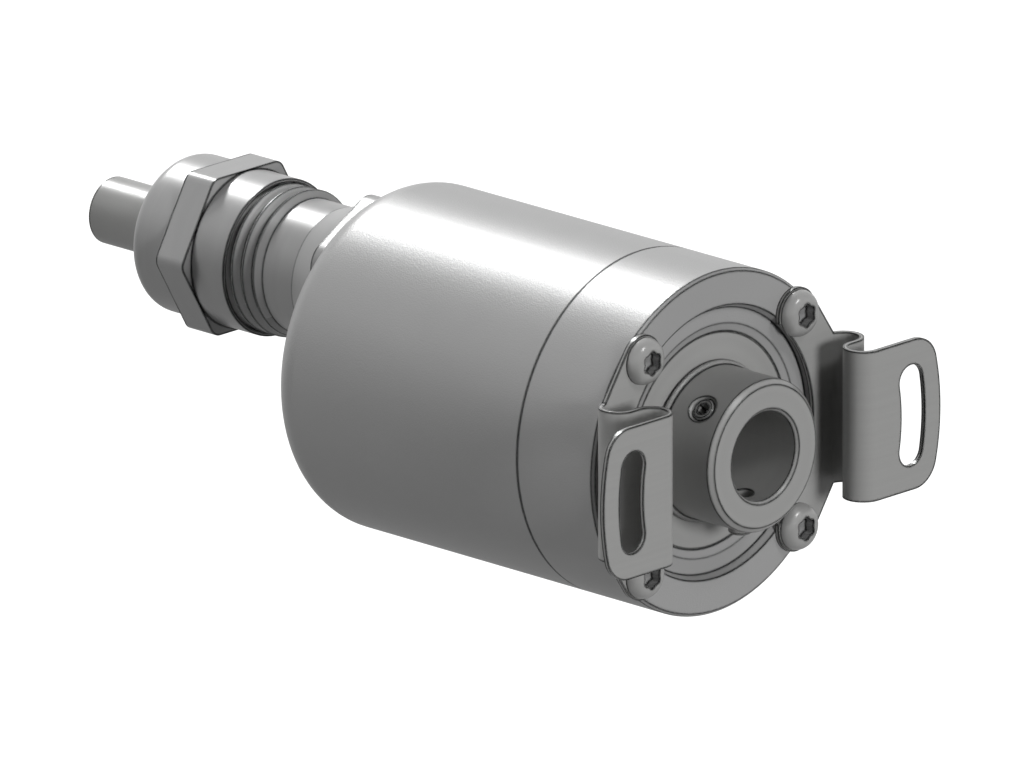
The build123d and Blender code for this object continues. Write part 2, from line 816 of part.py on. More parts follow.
parts = {
    "flange": flange(),
    "cover": cover(),
    "cover_o_ring": cover_o_ring(),
    "coupling_spring_left": coupling_spring(-1),
    "coupling_spring_right": coupling_spring(1),
    "coupling_screws": coupling_screws(),
    "shaft_seal": shaft_seal(),
    "front_bearing_outer_race": outer_race(bearing_start),
    "front_bearing_inner_race": inner_race(bearing_start),
    "front_bearing_balls": balls(bearing_start),
    "front_bearing_cage": cage(bearing_start),
    "rear_bearing_outer_race": outer_race(rear_bearing_start),
    "rear_bearing_inner_race": inner_race(rear_bearing_start),
    "rear_bearing_balls": balls(rear_bearing_start),
    "rear_bearing_cage": cage(rear_bearing_start),
    "outer_race_spacer": outer_spacer(),
    "inner_race_spacer": inner_spacer(),
    "bearing_clip": bearing_clip(),
    "shaft_clip": shaft_clip(),
    "hollow_shaft": hollow_shaft(),
    "upper_set_screw": set_screw(upper_screw_angle, upper_screw_end),
    "lower_set_screw": set_screw(lower_screw_angle, lower_screw_end),
    "code_disc_hub": code_disc_hub(),
    "code_disc": code_disc(),
    "lamp_board": lamp_board(),
    "lamp": lamp(),
    "optical_sensor": optical_sensor(),
    "reticle": reticle(),
    "sensor_board": board(sensor_board_start, board_thickness, board_window_radius),
    "front_gear_plate": gear_plate(front_plate_start),
    "rear_gear_plate": gear_plate(rear_plate_start),
    "gear_axles": gear_axles(),
    "drive_pinion": drive_pinion(),
    "field_sensors": field_sensors(),
    "main_board": board(main_board_start, board_thickness, 0),
    "main_board_parts": main_board_parts(),
    "board_header": board_header(),
    "interface_board": board(interface_board_start, board_thickness, 0),
    "interface_board_parts": interface_board_parts(),
    "cable_connector": cable_connector(),
    "stack_spacers": spacers(),
    "stack_screws": stack_screws(),
    "gland_gasket": gland_gasket(),
    "gland_body": gland_body(),
    "gland_lock_nut": gland_lock_nut(),
    "sealing_sleeve": sealing_sleeve(),
    "clamp_cage": clamp_cage(),
    "compression_nut": compression_nut(),
    "cable_jacket": cable_jacket(),
    "cable_shield": cable_shield(),
    "cable_cores": cable_cores(),
}
for i in range(wheel_count):
    parts[f"gear_wheel_{i + 1}"] = gear_wheel(i)
    parts[f"gear_magnet_{i + 1}"] = gear_magnet(i)

os.makedirs("parts", exist_ok=True)
for name, part in parts.items():
    export_step(part, f"parts/{name}.step")
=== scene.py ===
import json
import math

import bmesh
import bpy
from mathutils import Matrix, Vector


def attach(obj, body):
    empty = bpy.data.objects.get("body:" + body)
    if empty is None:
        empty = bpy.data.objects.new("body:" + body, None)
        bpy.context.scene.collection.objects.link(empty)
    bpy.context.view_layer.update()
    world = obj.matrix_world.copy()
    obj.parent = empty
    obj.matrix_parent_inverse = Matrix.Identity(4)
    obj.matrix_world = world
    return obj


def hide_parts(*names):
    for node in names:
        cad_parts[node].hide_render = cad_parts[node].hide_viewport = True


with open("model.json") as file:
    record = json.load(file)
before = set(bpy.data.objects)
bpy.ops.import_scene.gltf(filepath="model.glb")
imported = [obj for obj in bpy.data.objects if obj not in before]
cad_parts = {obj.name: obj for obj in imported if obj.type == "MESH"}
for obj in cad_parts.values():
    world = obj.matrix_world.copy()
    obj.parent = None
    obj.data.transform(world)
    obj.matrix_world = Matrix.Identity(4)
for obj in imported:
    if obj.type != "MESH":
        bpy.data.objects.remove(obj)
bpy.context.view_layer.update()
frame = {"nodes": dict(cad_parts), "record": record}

# Everything here is written in millimetres and put into the scene in metres.
mm = 0.001
print("frame loaded")


# Node helpers

def newGroup(name, inputs, outputs):
    group = bpy.data.node_groups.new(name, "ShaderNodeTree")
    for label, kind, value in inputs:
        socket = group.interface.new_socket(label, in_out="INPUT", socket_type=kind)
        socket.default_value = value
    for label, kind in outputs:
        group.interface.new_socket(label, in_out="OUTPUT", socket_type=kind)
    start = group.nodes.new("NodeGroupInput")
    end = group.nodes.new("NodeGroupOutput")
    start.location = (-900, 0)
    end.location = (900, 0)
    return group, start, end


def addNode(tree, kind, place, **settings):
    node = tree.nodes.new(kind)
    node.location = place
    for key, value in settings.items():
        setattr(node, key, value)
    return node


def addMath(tree, operation, place, first, second=None):
    node = addNode(tree, "ShaderNodeMath", place, operation=operation)
    for socket, value in zip(node.inputs, (first, second)):
        if value is None:
            continue
        if isinstance(value, (int, float)):
            socket.default_value = value
        else:
            tree.links.new(value, socket)
    return node.outputs[0]


def addTexture(tree, kind, place, vector, **values):
    node = addNode(tree, kind, place)
    for label, value in values.items():
        node.inputs[label.replace("_", " ")].default_value = value
    tree.links.new(vector, node.inputs["Vector"])
    return node


def addLength(tree, place, first, second):
    # Distance from an axis, from the two coordinates across it.
    flat = addNode(tree, "ShaderNodeCombineXYZ", place)
    tree.links.new(first, flat.inputs["X"])
    tree.links.new(second, flat.inputs["Y"])
    length = addNode(tree, "ShaderNodeVectorMath", (place[0] + 180, place[1]), operation="LENGTH")
    tree.links.new(flat.outputs[0], length.inputs[0])
    return length.outputs["Value"]


# Shared effects

grainLook = {"pitScale": 5200, "pitDetail": 2.0, "gritScale": 3600, "driftScale": 55, "driftDetail": 4.0}


def makeBlastedGrain(spec):
    # Fine pits of a bead blasted surface, with a slow drift in tone.
    group, start, end = newGroup(
        "blastedGrain",
        [("Scale", "NodeSocketFloat", 1.0)],
        [("Height", "NodeSocketFloat"), ("Tone", "NodeSocketFloat"), ("Speckle", "NodeSocketFloat")])
    links = group.links
    coords = addNode(group, "ShaderNodeTexCoord", (-900, -300))
    scaled = addNode(group, "ShaderNodeVectorMath", (-700, -200), operation="SCALE")
    links.new(coords.outputs["Object"], scaled.inputs[0])
    links.new(start.outputs["Scale"], scaled.inputs["Scale"])
    vector = scaled.outputs["Vector"]
    pits = addTexture(group, "ShaderNodeTexNoise", (-450, 100), vector,
                      Scale=spec["pitScale"], Detail=spec["pitDetail"])
    grit = addTexture(group, "ShaderNodeTexVoronoi", (-450, -200), vector, Scale=spec["gritScale"])
    drift = addTexture(group, "ShaderNodeTexNoise", (-450, -500), vector,
                       Scale=spec["driftScale"], Detail=spec["driftDetail"])
    both = addMath(group, "ADD", (-200, 0), pits.outputs["Fac"], grit.outputs["Distance"])
    links.new(both, end.inputs["Height"])
    links.new(drift.outputs["Fac"], end.inputs["Tone"])
    links.new(pits.outputs["Fac"], end.inputs["Speckle"])
    return group


ringLook = {"perMetre": 9000.0, "lineScale": 1.0, "lineDetail": 3.0, "bandScale": 0.05}


def makeTurnedRings(spec):
    # Fine grooves that a lathe tool leaves round the shaft axis, which runs along Y.
    group, start, end = newGroup(
        "turnedRings",
        [("Rings Per Metre", "NodeSocketFloat", spec["perMetre"]), ("Centre Height", "NodeSocketFloat", 0.0)],
        [("Height", "NodeSocketFloat"), ("Tone", "NodeSocketFloat")])
    links = group.links
    coords = addNode(group, "ShaderNodeTexCoord", (-900, -300))
    split = addNode(group, "ShaderNodeSeparateXYZ", (-700, -300))
    links.new(coords.outputs["Object"], split.inputs[0])
    height = start.outputs["Centre Height"]
    lowered = addMath(group, "SUBTRACT", (-500, -400), split.outputs["Z"], height)
    radius = addLength(group, (-350, -300), split.outputs["X"], lowered)
    along = addMath(group, "ADD", (0, -200), radius, split.outputs["Y"])
    count = addMath(group, "MULTIPLY", (150, -200), along, start.outputs["Rings Per Metre"])
    lines = addNode(group, "ShaderNodeTexNoise", (350, -200), noise_dimensions="1D")
    lines.inputs["Scale"].default_value = spec["lineScale"]
    lines.inputs["Detail"].default_value = spec["lineDetail"]
    bands = addNode(group, "ShaderNodeTexNoise", (350, 100), noise_dimensions="1D")
    bands.inputs["Scale"].default_value = spec["bandScale"]
    for node, label in ((lines, "Height"), (bands, "Tone")):
        links.new(count, node.inputs["W"])
        links.new(node.outputs["Fac"], end.inputs[label])
    return group


rolledLook = {"stretch": (90, 90, 4200), "lineScale": 1.0, "lineDetail": 3.0, "cloudScale": 0.35}


def makeRolledLines(spec):
    # Long faint scratches along the rolling direction of sheet, drawn along X.
    group, start, end = newGroup(
        "rolledLines",
        [("Scale", "NodeSocketFloat", 1.0)],
        [("Height", "NodeSocketFloat"), ("Tone", "NodeSocketFloat")])
    links = group.links
    coords = addNode(group, "ShaderNodeTexCoord", (-900, -300))
    stretch = addNode(group, "ShaderNodeVectorMath", (-650, -200), operation="MULTIPLY")
    stretch.inputs[1].default_value = spec["stretch"]
    links.new(coords.outputs["Object"], stretch.inputs[0])
    sized = addNode(group, "ShaderNodeVectorMath", (-450, -200), operation="SCALE")
    links.new(stretch.outputs[0], sized.inputs[0])
    links.new(start.outputs["Scale"], sized.inputs["Scale"])
    vector = sized.outputs[0]
    lines = addTexture(group, "ShaderNodeTexNoise", (-200, 0), vector,
                       Scale=spec["lineScale"], Detail=spec["lineDetail"])
    cloud = addTexture(group, "ShaderNodeTexNoise", (-200, -300), vector, Scale=spec["cloudScale"])
    links.new(lines.outputs["Fac"], end.inputs["Height"])
    links.new(cloud.outputs["Fac"], end.inputs["Tone"])
    return group


# Width is in metres. A lean under "ignored" leaves no line, and "shade" is the tone kept in the line.
edgeLook = {"width": 0.0006, "amount": 120.0, "ignored": 0.003, "shade": 0.05, "samples": 6}


def makeEdgeShade(spec):
    # A mask along sharp edges and inside corners, from how far a rounded normal leans away
    # from the true one.
    group, start, end = newGroup(
        "edgeShade",
        [("Width", "NodeSocketFloat", spec["width"]), ("Amount", "NodeSocketFloat", spec["amount"])],
        [("Edge", "NodeSocketFloat")])
    links = group.links
    rounded = addNode(group, "ShaderNodeBevel", (-500, 0), samples=spec["samples"])
    links.new(start.outputs["Width"], rounded.inputs["Radius"])
    plain = addNode(group, "ShaderNodeNewGeometry", (-500, -250))
    lean = addNode(group, "ShaderNodeVectorMath", (-250, -100), operation="DOT_PRODUCT")
    links.new(rounded.outputs["Normal"], lean.inputs[0])
    links.new(plain.outputs["Normal"], lean.inputs[1])
    gap = addMath(group, "SUBTRACT", (-50, -100), 1.0, lean.outputs["Value"])
    sharp = addMath(group, "SUBTRACT", (100, -100), gap, spec["ignored"])
    strong = addMath(group, "MULTIPLY", (250, -100), sharp, start.outputs["Amount"])
    raised = addMath(group, "MAXIMUM", (400, -100), strong, 0.0)
    capped = addMath(group, "MINIMUM", (550, -100), raised, 1.0)
    links.new(capped, end.inputs["Edge"])
    return group


blastedGrain = makeBlastedGrain(grainLook)
turnedRings = makeTurnedRings(ringLook)
rolledLines = makeRolledLines(rolledLook)
edgeShade = makeEdgeShade(edgeLook)


# Materials

def newMaterial(name):
    material = bpy.data.materials.new(name)
    material.use_nodes = True
    tree = material.node_tree
    shader = tree.nodes["Principled BSDF"]
    shader.location = (300, 0)
    tree.nodes["Material Output"].location = (650, 0)
    return material, tree, shader


def placeGroup(tree, group, place, **values):
    node = addNode(tree, "ShaderNodeGroup", place, node_tree=group)
    for label, value in values.items():
        node.inputs[label.replace("_", " ")].default_value = value
    return node


def mixColour(tree, place, mask, low, high):
    # Of this node's sockets, inputs 6 and 7 and output 2 are the ones for colours.
    node = addNode(tree, "ShaderNodeMix", place, data_type="RGBA")
    tree.links.new(mask, node.inputs["Factor"])
    for socket, value in ((node.inputs[6], low), (node.inputs[7], high)):
        if isinstance(value, tuple):
            socket.default_value = (*value, 1)
        else:
            tree.links.new(value, socket)
    return node.outputs[2]


def spread(tree, place, value, low, high, start=0.3, end=0.7):
    node = addNode(tree, "ShaderNodeMapRange", place)
    tree.links.new(value, node.inputs["Value"])
    for label, number in (("From Min", start), ("From Max", end), ("To Min", low), ("To Max", high)):
        node.inputs[label].default_value = number
    return node.outputs["Result"]


# How deep a full step of the bump goes, in metres.
bumpReach = 0.0002


def addBump(tree, shader, height, strength, distance=bumpReach):
    bump = addNode(tree, "ShaderNodeBump", (80, -350))
    bump.inputs["Strength"].default_value = strength
    bump.inputs["Distance"].default_value = distance
    tree.links.new(height, bump.inputs["Height"])
    tree.links.new(bump.outputs["Normal"], shader.inputs["Normal"])


def addEdgeLines(tree, shader, place, colour, line, metallic):
    # The line is metal as well as dark, so that no pale gloss lies over it.
    edge = placeGroup(tree, edgeShade, (-700, -350), Width=edgeLook["width"], Amount=edgeLook["amount"])
    lined = mixColour(tree, place, edge.outputs["Edge"], colour, line)
    tree.links.new(lined, shader.inputs["Base Color"])
    metal = spread(tree, (80, -150), edge.outputs["Edge"], metallic, 1.0, 0, 1)
    tree.links.new(metal, shader.inputs["Metallic"])


metalFinish = {
    "castHousing": dict(tone=0.29, warmth=1.0, metallic=0.08, roughness=0.34, pattern="blasted", depth=0.10),
    "turnedShaft": dict(tone=0.29, warmth=0.985, metallic=0.08, roughness=0.34, pattern="turned", depth=0.02),
    "springSheet": dict(tone=0.29, warmth=0.985, metallic=0.08, roughness=0.34, pattern="rolled", depth=0.01),
    "screwSteel": dict(tone=0.30, warmth=0.985, metallic=0.12, roughness=0.22, pattern="blasted", depth=0.02),
    # The recess finish is darker than the head's: painted shade inside the recess.
    "screwRecessPaintedShade": dict(tone=0.24, warmth=1.0, metallic=0.20, roughness=0.45, pattern="blasted", depth=0.05),
    "sealCase": dict(tone=0.29, warmth=0.985, metallic=0.08, roughness=0.38, pattern="turned", depth=0.02),
    "glandMetal": dict(tone=0.29, warmth=1.0, metallic=0.08, roughness=0.34, pattern="gland", depth=0.02),
    # The thread finish is paler than the body's: painted light standing in for the housing's shadow on the
    # thread.
    "glandThreadPaintedLight": dict(tone=0.42, warmth=1.0, metallic=0.08, roughness=0.42, pattern="gland", depth=0.02),
    "bearingSteel": dict(tone=0.42, warmth=1.0, metallic=0.95, roughness=0.18, pattern="turned", depth=0.03),
    "innerMetal": dict(tone=0.46, warmth=1.0, metallic=0.85, roughness=0.35, pattern="blasted", depth=0.04),
}

# The gland's axis lies this far above the shaft's, in metres.
metalLook = {
    "toneSwing": 0.02, "roughSwing": 0.04, "lineGreen": 1.1, "lineBlue": 1.08, "glandHeight": 0.0103,
}


def metalMaterial(name, tone, warmth, metallic, roughness, pattern, depth):
    material, tree, shader = newMaterial(name)
    if pattern == "blasted":
        marks = placeGroup(tree, blastedGrain, (-700, 0), Scale=1.0)
    elif pattern == "rolled":
        marks = placeGroup(tree, rolledLines, (-700, 0), Scale=1.0)
    else:
        centre = metalLook["glandHeight"] if pattern == "gland" else 0.0
        marks = placeGroup(tree, turnedRings, (-700, 0),
                           Rings_Per_Metre=ringLook["perMetre"], Centre_Height=centre)
    dark, light = (tuple(tone * share * tint for tint in (1, 1, warmth))
                   for share in (1 - metalLook["toneSwing"], 1 + metalLook["toneSwing"]))
    shade = tone * edgeLook["shade"]
    line = (shade, shade * metalLook["lineGreen"], shade * metalLook["lineBlue"])
    clouds = spread(tree, (-500, 150), marks.outputs["Tone"], 0, 1)
    clouded = mixColour(tree, (-300, 150), clouds, dark, light)
    addEdgeLines(tree, shader, (-100, 100), clouded, line, metallic)
    swing = metalLook["roughSwing"]
    rough = spread(tree, (-300, -100), marks.outputs["Height"], roughness - swing, roughness + swing)
    tree.links.new(rough, shader.inputs["Roughness"])
    addBump(tree, shader, marks.outputs["Height"], depth)
    return material


plasticFinish = {
    "gearPlastic": dict(colour=(0.74, 0.70, 0.60), roughness=0.45, coat=0.0, depth=0.05),
    "magnetFerrite": dict(colour=(0.045, 0.045, 0.05), roughness=0.55, coat=0.0, depth=0.10),
    "chipPlastic": dict(colour=(0.018, 0.018, 0.02), roughness=0.5, coat=0.0, depth=0.08),
    "connectorPlastic": dict(colour=(0.68, 0.66, 0.58), roughness=0.4, coat=0.0, depth=0.04),
    "softRubber": dict(colour=(0.02, 0.02, 0.021), roughness=0.6, coat=0.0, depth=0.10),
    "jacketPlastic": dict(colour=(0.29, 0.29, 0.285), roughness=0.36, coat=0.0, depth=0.03),
    "corePlastic": dict(colour=(0.56, 0.52, 0.46), roughness=0.35, coat=0.2, depth=0.03),
}


plasticLook = {"grainScale": 0.7, "toneSwing": 0.05, "roughSwing": 0.06, "lineShare": 2}


def plasticMaterial(name, colour, roughness, coat, depth):
    material, tree, shader = newMaterial(name)
    grain = placeGroup(tree, blastedGrain, (-700, 0), Scale=plasticLook["grainScale"])
    swing = plasticLook["toneSwing"]
    dark = tuple(channel * (1 - swing) for channel in colour)
    light = tuple(min(1, channel * (1 + swing)) for channel in colour)
    line = tuple(channel * edgeLook["shade"] * plasticLook["lineShare"] for channel in colour)
    clouds = spread(tree, (-450, 200), grain.outputs["Tone"], 0, 1)
    clouded = mixColour(tree, (-250, 200), clouds, dark, light)
    addEdgeLines(tree, shader, (-50, 100), clouded, line, 0.0)
    swing = plasticLook["roughSwing"]
    rough = spread(tree, (-350, -150), grain.outputs["Speckle"], roughness - swing, roughness + swing)
    tree.links.new(rough, shader.inputs["Roughness"])
    shader.inputs["Coat Weight"].default_value = coat
    addBump(tree, shader, grain.outputs["Height"], depth)
    return material


brassLook = {
    "ringsPerMetre": 7000.0, "dark": (0.50, 0.33, 0.11), "light": (0.66, 0.47, 0.19),
    "smooth": 0.24, "rough": 0.36, "bump": 0.05,
}


def brassMaterial(name, spec):
    material, tree, shader = newMaterial(name)
    rings = placeGroup(tree, turnedRings, (-700, 0), Rings_Per_Metre=spec["ringsPerMetre"])
    clouds = spread(tree, (-350, 100), rings.outputs["Tone"], 0, 1)
    colour = mixColour(tree, (-100, 100), clouds, spec["dark"], spec["light"])
    tree.links.new(colour, shader.inputs["Base Color"])
    rough = spread(tree, (-350, -150), rings.outputs["Height"], spec["smooth"], spec["rough"])
    tree.links.new(rough, shader.inputs["Roughness"])
    shader.inputs["Metallic"].default_value = 1.0
    addBump(tree, shader, rings.outputs["Height"], spec["bump"])
    return material


braidLook = {
    "scale": 900, "wireDark": (0.42, 0.40, 0.36, 1), "wireLight": (0.56, 0.54, 0.50, 1),
    "between": (0.10, 0.09, 0.08, 1), "metallic": 0.9, "smooth": 0.30, "rough": 0.5,
    "bump": 0.3, "reach": -0.0001,
}


def braidMaterial(name, spec):
    # Tinned wires crossing each other round the cable.
    material, tree, shader = newMaterial(name)
    coords = addNode(tree, "ShaderNodeTexCoord", (-1000, 0))
    weave = addTexture(tree, "ShaderNodeTexBrick", (-700, 0), coords.outputs["Object"], Scale=spec["scale"],
                       Color1=spec["wireDark"], Color2=spec["wireLight"], Mortar=spec["between"])
    tree.links.new(weave.outputs["Color"], shader.inputs["Base Color"])
    rough = spread(tree, (-350, -150), weave.outputs["Fac"], spec["smooth"], spec["rough"], 0, 1)
    tree.links.new(rough, shader.inputs["Roughness"])
    shader.inputs["Metallic"].default_value = spec["metallic"]
    addBump(tree, shader, weave.outputs["Fac"], spec["bump"], spec["reach"])
    return material


boardLook = {
    "scale": 420, "trackWidth": 0.06, "track": (0.030, 0.150, 0.060, 1),
    "coatDark": (0.010, 0.075, 0.030, 1), "coatLight": (0.013, 0.090, 0.036, 1),
    "smooth": 0.28, "rough": 0.38, "coat": 0.4, "bump": 0.15, "reach": 0.0001,
}


def boardMaterial(name, spec):
    # Green coated board with faint copper tracks under the coating.
    material, tree, shader = newMaterial(name)
    coords = addNode(tree, "ShaderNodeTexCoord", (-1100, 0))
    turned = addNode(tree, "ShaderNodeMapping", (-900, 0))
    turned.inputs["Rotation"].default_value = (math.pi / 2, 0, 0)
    tree.links.new(coords.outputs["Object"], turned.inputs["Vector"])
    tracks = addTexture(tree, "ShaderNodeTexBrick", (-650, 0), turned.outputs[0], Scale=spec["scale"],
                        Mortar_Size=spec["trackWidth"], Color1=spec["coatDark"], Color2=spec["coatLight"],
                        Mortar=spec["track"])
    tree.links.new(tracks.outputs["Color"], shader.inputs["Base Color"])
    rough = spread(tree, (-350, -150), tracks.outputs["Fac"], spec["smooth"], spec["rough"], 0, 1)
    tree.links.new(rough, shader.inputs["Roughness"])
    shader.inputs["Coat Weight"].default_value = spec["coat"]
    addBump(tree, shader, tracks.outputs["Fac"], spec["bump"], spec["reach"])
    return material


# The code lines' radius and half height are in metres.
glassLook = {
    "lineCount": 256.0, "lineRadius": 0.017, "lineReach": 0.0012, "clear": (0.86, 0.92, 0.91),
    "dark": (0.02, 0.02, 0.02), "smooth": 0.03, "rough": 0.3, "transmission": 0.85, "bending": 1.5,
}


def glassMaterial(name, spec):
    # Clear disc with dark radial code lines near its rim.
    material, tree, shader = newMaterial(name)
    coords = addNode(tree, "ShaderNodeTexCoord", (-1100, 0))
    split = addNode(tree, "ShaderNodeSeparateXYZ", (-900, 0))
    tree.links.new(coords.outputs["Object"], split.inputs[0])
    turn = addMath(tree, "ARCTAN2", (-700, 0), split.outputs["Z"], split.outputs["X"])
    ticks = addMath(tree, "SINE", (-350, 0), addMath(tree, "MULTIPLY", (-520, 0), turn, spec["lineCount"]))
    lines = addMath(tree, "GREATER_THAN", (-180, 0), ticks, 0.0)
    radius = addLength(tree, (-700, -250), split.outputs["X"], split.outputs["Z"])
    band = addMath(tree, "COMPARE", (-350, -250), radius, spec["lineRadius"])
    band.node.inputs[2].default_value = spec["lineReach"]
    marks = addMath(tree, "MULTIPLY", (-50, -150), lines, band)
    colour = mixColour(tree, (100, 100), marks, spec["clear"], spec["dark"])
    tree.links.new(colour, shader.inputs["Base Color"])
    rough = spread(tree, (100, -200), marks, spec["smooth"], spec["rough"], 0, 1)
    tree.links.new(rough, shader.inputs["Roughness"])
    shader.inputs["Transmission Weight"].default_value = spec["transmission"]
    shader.inputs["IOR"].default_value = spec["bending"]
    return material


finishes = {name: metalMaterial(name, **values) for name, values in metalFinish.items()}
finishes.update({name: plasticMaterial(name, **values) for name, values in plasticFinish.items()})
finishes["gearBrass"] = brassMaterial("gearBrass", brassLook)
finishes["shieldBraid"] = braidMaterial("shieldBraid", braidLook)
finishes["circuitBoard"] = boardMaterial("circuitBoard", boardLook)
finishes["discGlass"] = glassMaterial("discGlass", glassLook)
print("materials made:", len(finishes))

# The record's slots and the finish that each one takes here.
slotFinish = {
    "cast_housing": "castHousing", "turned_shaft": "turnedShaft", "spring_sheet": "springSheet",
    "screw_steel": "screwSteel", "seal_case": "sealCase", "gland_metal": "glandMetal",
    "bearing_steel": "bearingSteel", "inner_metal": "innerMetal", "gear_brass": "gearBrass",
    "gear_plastic": "gearPlastic", "magnet": "magnetFerrite", "disc_glass": "discGlass",
    "circuit_board": "circuitBoard", "chip_plastic": "chipPlastic",
    "connector_plastic": "connectorPlastic", "soft_rubber": "softRubber",
    "jacket_plastic": "jacketPlastic", "shield_braid": "shieldBraid", "core_plastic": "corePlastic",
}
for entry in frame["record"]["subparts"]:
    part = frame["nodes"][entry["node"]]
    part.data.materials.clear()
    part.data.materials.append(finishes[slotFinish[entry["material_slot"]]])


# Mesh helpers

# Radius of the small ring that closes a turned mesh at its axis.
axisRadius = 0.001


def addPiece(name, verts, faces, finish, body, slot, sharpAngle=32):
    mesh = bpy.data.meshes.new(name)
    mesh.from_pydata([(x * mm, y * mm, z * mm) for x, y, z in verts], [], faces)
    mesh.validate()
    for polygon in mesh.polygons:
        polygon.use_smooth = True
    mesh.set_sharp_from_angle(angle=math.radians(sharpAngle))
    mesh.materials.append(finishes[finish])
    piece = bpy.data.objects.new(name, mesh)
    bpy.context.scene.collection.objects.link(piece)
    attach(piece, body)
    return piece


def ringFaces(first, second, count):
    return [(first + i, first + (i + 1) % count, second + (i + 1) % count, second + i) for i in range(count)]


def lathe(rings, count, centreHeight, closed=True):
    # Each ring is a place along Y and its radius, or a function that gives the radius at an angle
    # from +Z toward +X. A closed mesh also joins its last ring to the first.
    verts, faces = [], []
    for place, radiusAt in rings:
        for i in range(count):
            turn = 2 * math.pi * i / count
            radius = radiusAt(turn) if callable(radiusAt) else radiusAt
            verts.append((radius * math.sin(turn), place, centreHeight + radius * math.cos(turn)))
    steps = len(rings) if closed else len(rings) - 1
    for step in range(steps):
        following = (step + 1) % len(rings)
        faces += ringFaces(step * count, following * count, count)
    return verts, faces


def joinMesh(verts, faces, made, move=(0, 0, 0)):
    # Adds a made mesh to the lists, moved and with its faces renumbered.
    shift = len(verts)
    verts += [(x + move[0], y + move[1], z + move[2]) for x, y, z in made[0]]
    faces += [tuple(i + shift for i in face) for face in made[1]]


def hexRadius(size, corner):
    # Radius of a hexagon with rounded corners, one of which points up.
    apothem = size / 2
    centre = (apothem - corner) / math.cos(math.pi / 6)
    limit = math.atan2(corner * 0.5, centre + corner * math.cos(math.pi / 6))

    def radiusAt(turn):
        off = (turn + math.pi / 6) % (math.pi / 3) - math.pi / 6
        if abs(off) > limit:
            return apothem / math.cos(math.pi / 6 - abs(off))
        return centre * math.cos(off) + math.sqrt(corner ** 2 - (centre * math.sin(off)) ** 2)
    return radiusAt


seamRules = {"weldWithin": 0.02, "dropUnder": 0.01, "sharpAngle": 14}


def closeSeams(piece, spec):
    # Welds rings that meet, drops faces with no area and turns every face outward.
    mesh = bmesh.new()
    mesh.from_mesh(piece.data)
    bmesh.ops.remove_doubles(mesh, verts=mesh.verts, dist=spec["weldWithin"] * mm)
    bmesh.ops.dissolve_degenerate(mesh, edges=mesh.edges, dist=spec["dropUnder"] * mm)
    bmesh.ops.recalc_face_normals(mesh, faces=mesh.faces)
    mesh.to_mesh(piece.data)
    mesh.free()
    for polygon in piece.data.polygons:
        polygon.use_smooth = True
    piece.data.set_sharp_from_angle(angle=math.radians(spec["sharpAngle"]))


# Gland body with its cut thread

glandBody = {
    "centreHeight": 10.3, "start": 66.0, "faceStart": 75.0, "hexEnd": 78.7, "neckStart": 85.2,
    "threadStart": 91.5, "threadEnd": 108.0, "entryRadius": 10.0, "hexSize": 27.0, "hexCorner": 4.0,
    "coneRadius": 13.4, "neckRadius": 11.2, "crestRadius": 12.52, "pitch": 2.4, "crestAt": 93.4,
    "crestShare": 0.12, "rootShare": 0.24, "runIn": 1.9, "paleFrom": 0.6, "paleMargin": 0.05,
    "boreRadius": 5.95, "seatRadius": 9.55, "seatStart": 96.0, "sharpAngle": 28, "segments": 240,
}


def threadRings(spec, count):
    # Rings of a right-handed thread: each one climbs a pitch in a turn and starts where an earlier ring ends.
    profile = [(0.0, "crestRadius"), (spec["crestShare"], "crestRadius"),
               (0.5 - spec["rootShare"] / 2, "neckRadius"), (0.5 + spec["rootShare"] / 2, "neckRadius")]
    pitch = spec["pitch"]
    place = spec["crestAt"] - pitch * (math.ceil((spec["crestAt"] - spec["threadStart"]) / pitch) + 1)
    verts, ringCount = [], 0
    while place < spec["threadEnd"] + pitch:
        for share, radiusName in profile:
            for i in range(count):
                turn = 2 * math.pi * i / count
                along = place + pitch * (share + i / count)
                rise = min(1, max(0, (along - spec["threadStart"]) / spec["runIn"]))
                radius = spec["neckRadius"] + (spec[radiusName] - spec["neckRadius"]) * rise
                if along <= spec["threadStart"] or along >= spec["threadEnd"]:
                    along = min(max(along, spec["threadStart"]), spec["threadEnd"])
                    radius = spec["neckRadius"]
                verts.append((radius * math.sin(turn), along, spec["centreHeight"] + radius * math.cos(turn)))
            ringCount += 1
        place += pitch
    faces = []
    for ring in range(ringCount - len(profile) - 1):
        for i in range(count):
            near, far = ring * count + i, (ring + 1) * count + i
            if i < count - 1:
                faces.append((near, near + 1, far + 1, far))
            else:
                faces.append((near, (ring + len(profile)) * count, (ring + 1 + len(profile)) * count, far))
    return verts, faces


